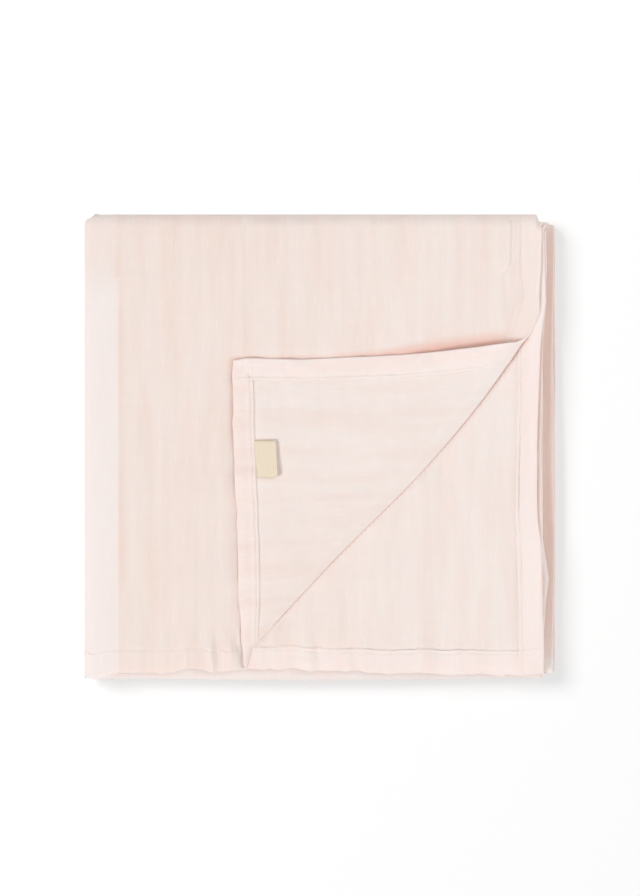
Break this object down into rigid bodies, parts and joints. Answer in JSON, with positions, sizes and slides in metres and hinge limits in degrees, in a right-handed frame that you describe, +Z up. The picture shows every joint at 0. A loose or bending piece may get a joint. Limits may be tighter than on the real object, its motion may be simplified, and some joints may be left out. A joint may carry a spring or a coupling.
{
  "type": "folded swaddle blanket",
  "caption": "Muslin swaddle blanket folded to a flat square stack, with one corner of its top layer turned back and a small folded label in the hem.",
  "frame": {"origin": "middle of the footprint, on the surface that the blanket lies on", "axes": "+Z up; +X towards the hemmed side where the turned corner's fold ends; -Y towards the hemmed front; -X is the big roll of the last fold"},
  "size_m": [0.309, 0.3076, 0.0329],
  "materials": {
    "muslin": "matte",
    "ribbon": "matte"
  },
  "bodies": {
    "root": {"blanket": "muslin", "label": "ribbon"}
  },
  "joints": []
}
